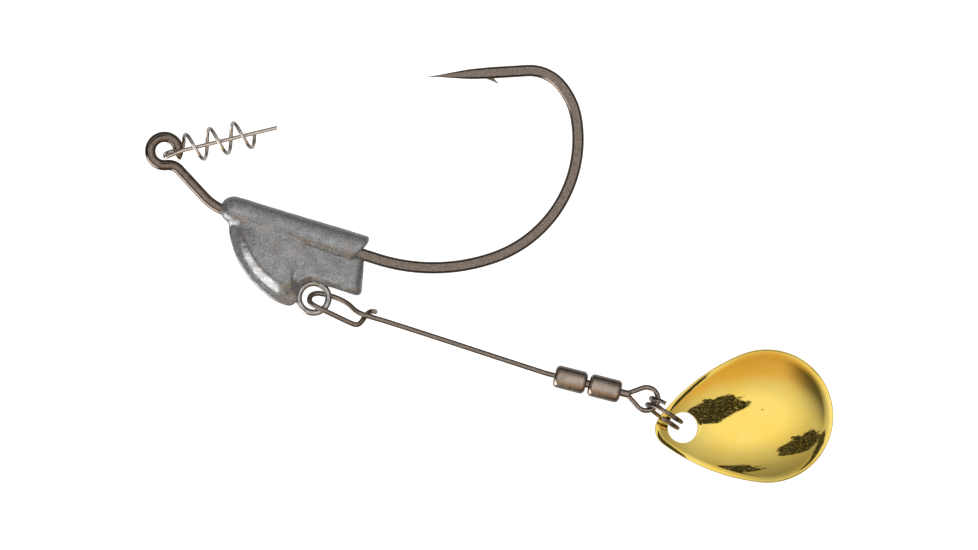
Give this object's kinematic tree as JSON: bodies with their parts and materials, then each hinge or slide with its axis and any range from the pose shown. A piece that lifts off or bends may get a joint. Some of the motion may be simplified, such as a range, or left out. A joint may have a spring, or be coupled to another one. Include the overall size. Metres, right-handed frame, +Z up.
{
  "type": "weighted swimbait hook with spinner",
  "caption": "Wide-gap weedless hook with a cast lead belly weight, a screw-in bait keeper on its line eye, and a wire arm carrying a rolling swivel and a cupped gold spinner blade.",
  "frame": {"origin": "centre of the line-tie eye, in the plane of the hook", "axes": "the lure lies on its side: +X from the line-tie eye towards the blade, +Y towards the side of the hook's point, +Z up, square to the hook's plane"},
  "size_m": [0.1006, 0.0611, 0.0067],
  "materials": {
    "black_nickel": "dark nickel plating over forged wire",
    "spring_steel": "drawn stainless wire",
    "bright_wire": "bright drawn wire",
    "cast_lead": "as cast, mottled and pitted",
    "gunmetal_wire": "dark nickel plating",
    "gunmetal_barrel": "brushed dark nickel",
    "gold_blade": "polished gold plating"
  },
  "bodies": {
    "hook_body": {"hook": "black_nickel", "lead_weight": "cast_lead", "belly_eyelet": "bright_wire"},
    "keeper": {"bait_keeper": "spring_steel"},
    "arm": {"spinner_arm": "gunmetal_wire"},
    "front_barrel": {"front_barrel": "gunmetal_barrel"},
    "centre_pin": {"centre_pin": "gunmetal_barrel"},
    "rear_barrel": {"rear_barrel": "gunmetal_barrel"},
    "swivel_eye": {"swivel_eye": "gunmetal_wire"},
    "split_ring": {"split_ring": "gunmetal_wire"},
    "blade": {"blade": "gold_blade"}
  },
  "joints": [
    {"name": "keeper_swing", "type": "hinge", "parent": "hook_body", "child": "keeper", "pos_m": [0, 0, 0], "axis": [0, 0, 1], "range_deg": [-15, 200]},
    {"name": "arm_swing", "type": "hinge", "parent": "hook_body", "child": "arm", "pos_m": [0.02179, -0.02143, 0], "axis": [0, 0, 1], "range_deg": [-110, 8]},
    {"name": "front_barrel_spin", "type": "hinge", "parent": "arm", "child": "front_barrel", "pos_m": [0.05929, -0.03336, 0], "axis": [0.969, -0.247, 0], "continuous": true},
    {"name": "centre_pin_spin", "type": "hinge", "parent": "front_barrel", "child": "centre_pin", "pos_m": [0.05929, -0.03336, 0], "axis": [0.969, -0.247, 0], "continuous": true},
    {"name": "rear_barrel_spin", "type": "hinge", "parent": "centre_pin", "child": "rear_barrel", "pos_m": [0.05929, -0.03336, 0], "axis": [0.969, -0.247, 0], "continuous": true},
    {"name": "swivel_eye_spin", "type": "hinge", "parent": "rear_barrel", "child": "swivel_eye", "pos_m": [0.05929, -0.03336, 0], "axis": [0.969, -0.247, 0], "continuous": true},
    {"name": "split_ring_swing", "type": "hinge", "parent": "swivel_eye", "child": "split_ring", "pos_m": [0.07039, -0.03619, 0], "axis": [0, 0, 1], "range_deg": [-40, 75]},
    {"name": "blade_flap", "type": "hinge", "parent": "split_ring", "child": "blade", "pos_m": [0.07306, -0.03878, -0.0001], "axis": [-0.5446, -0.8387, 0], "range_deg": [0, 95]}
  ]
}
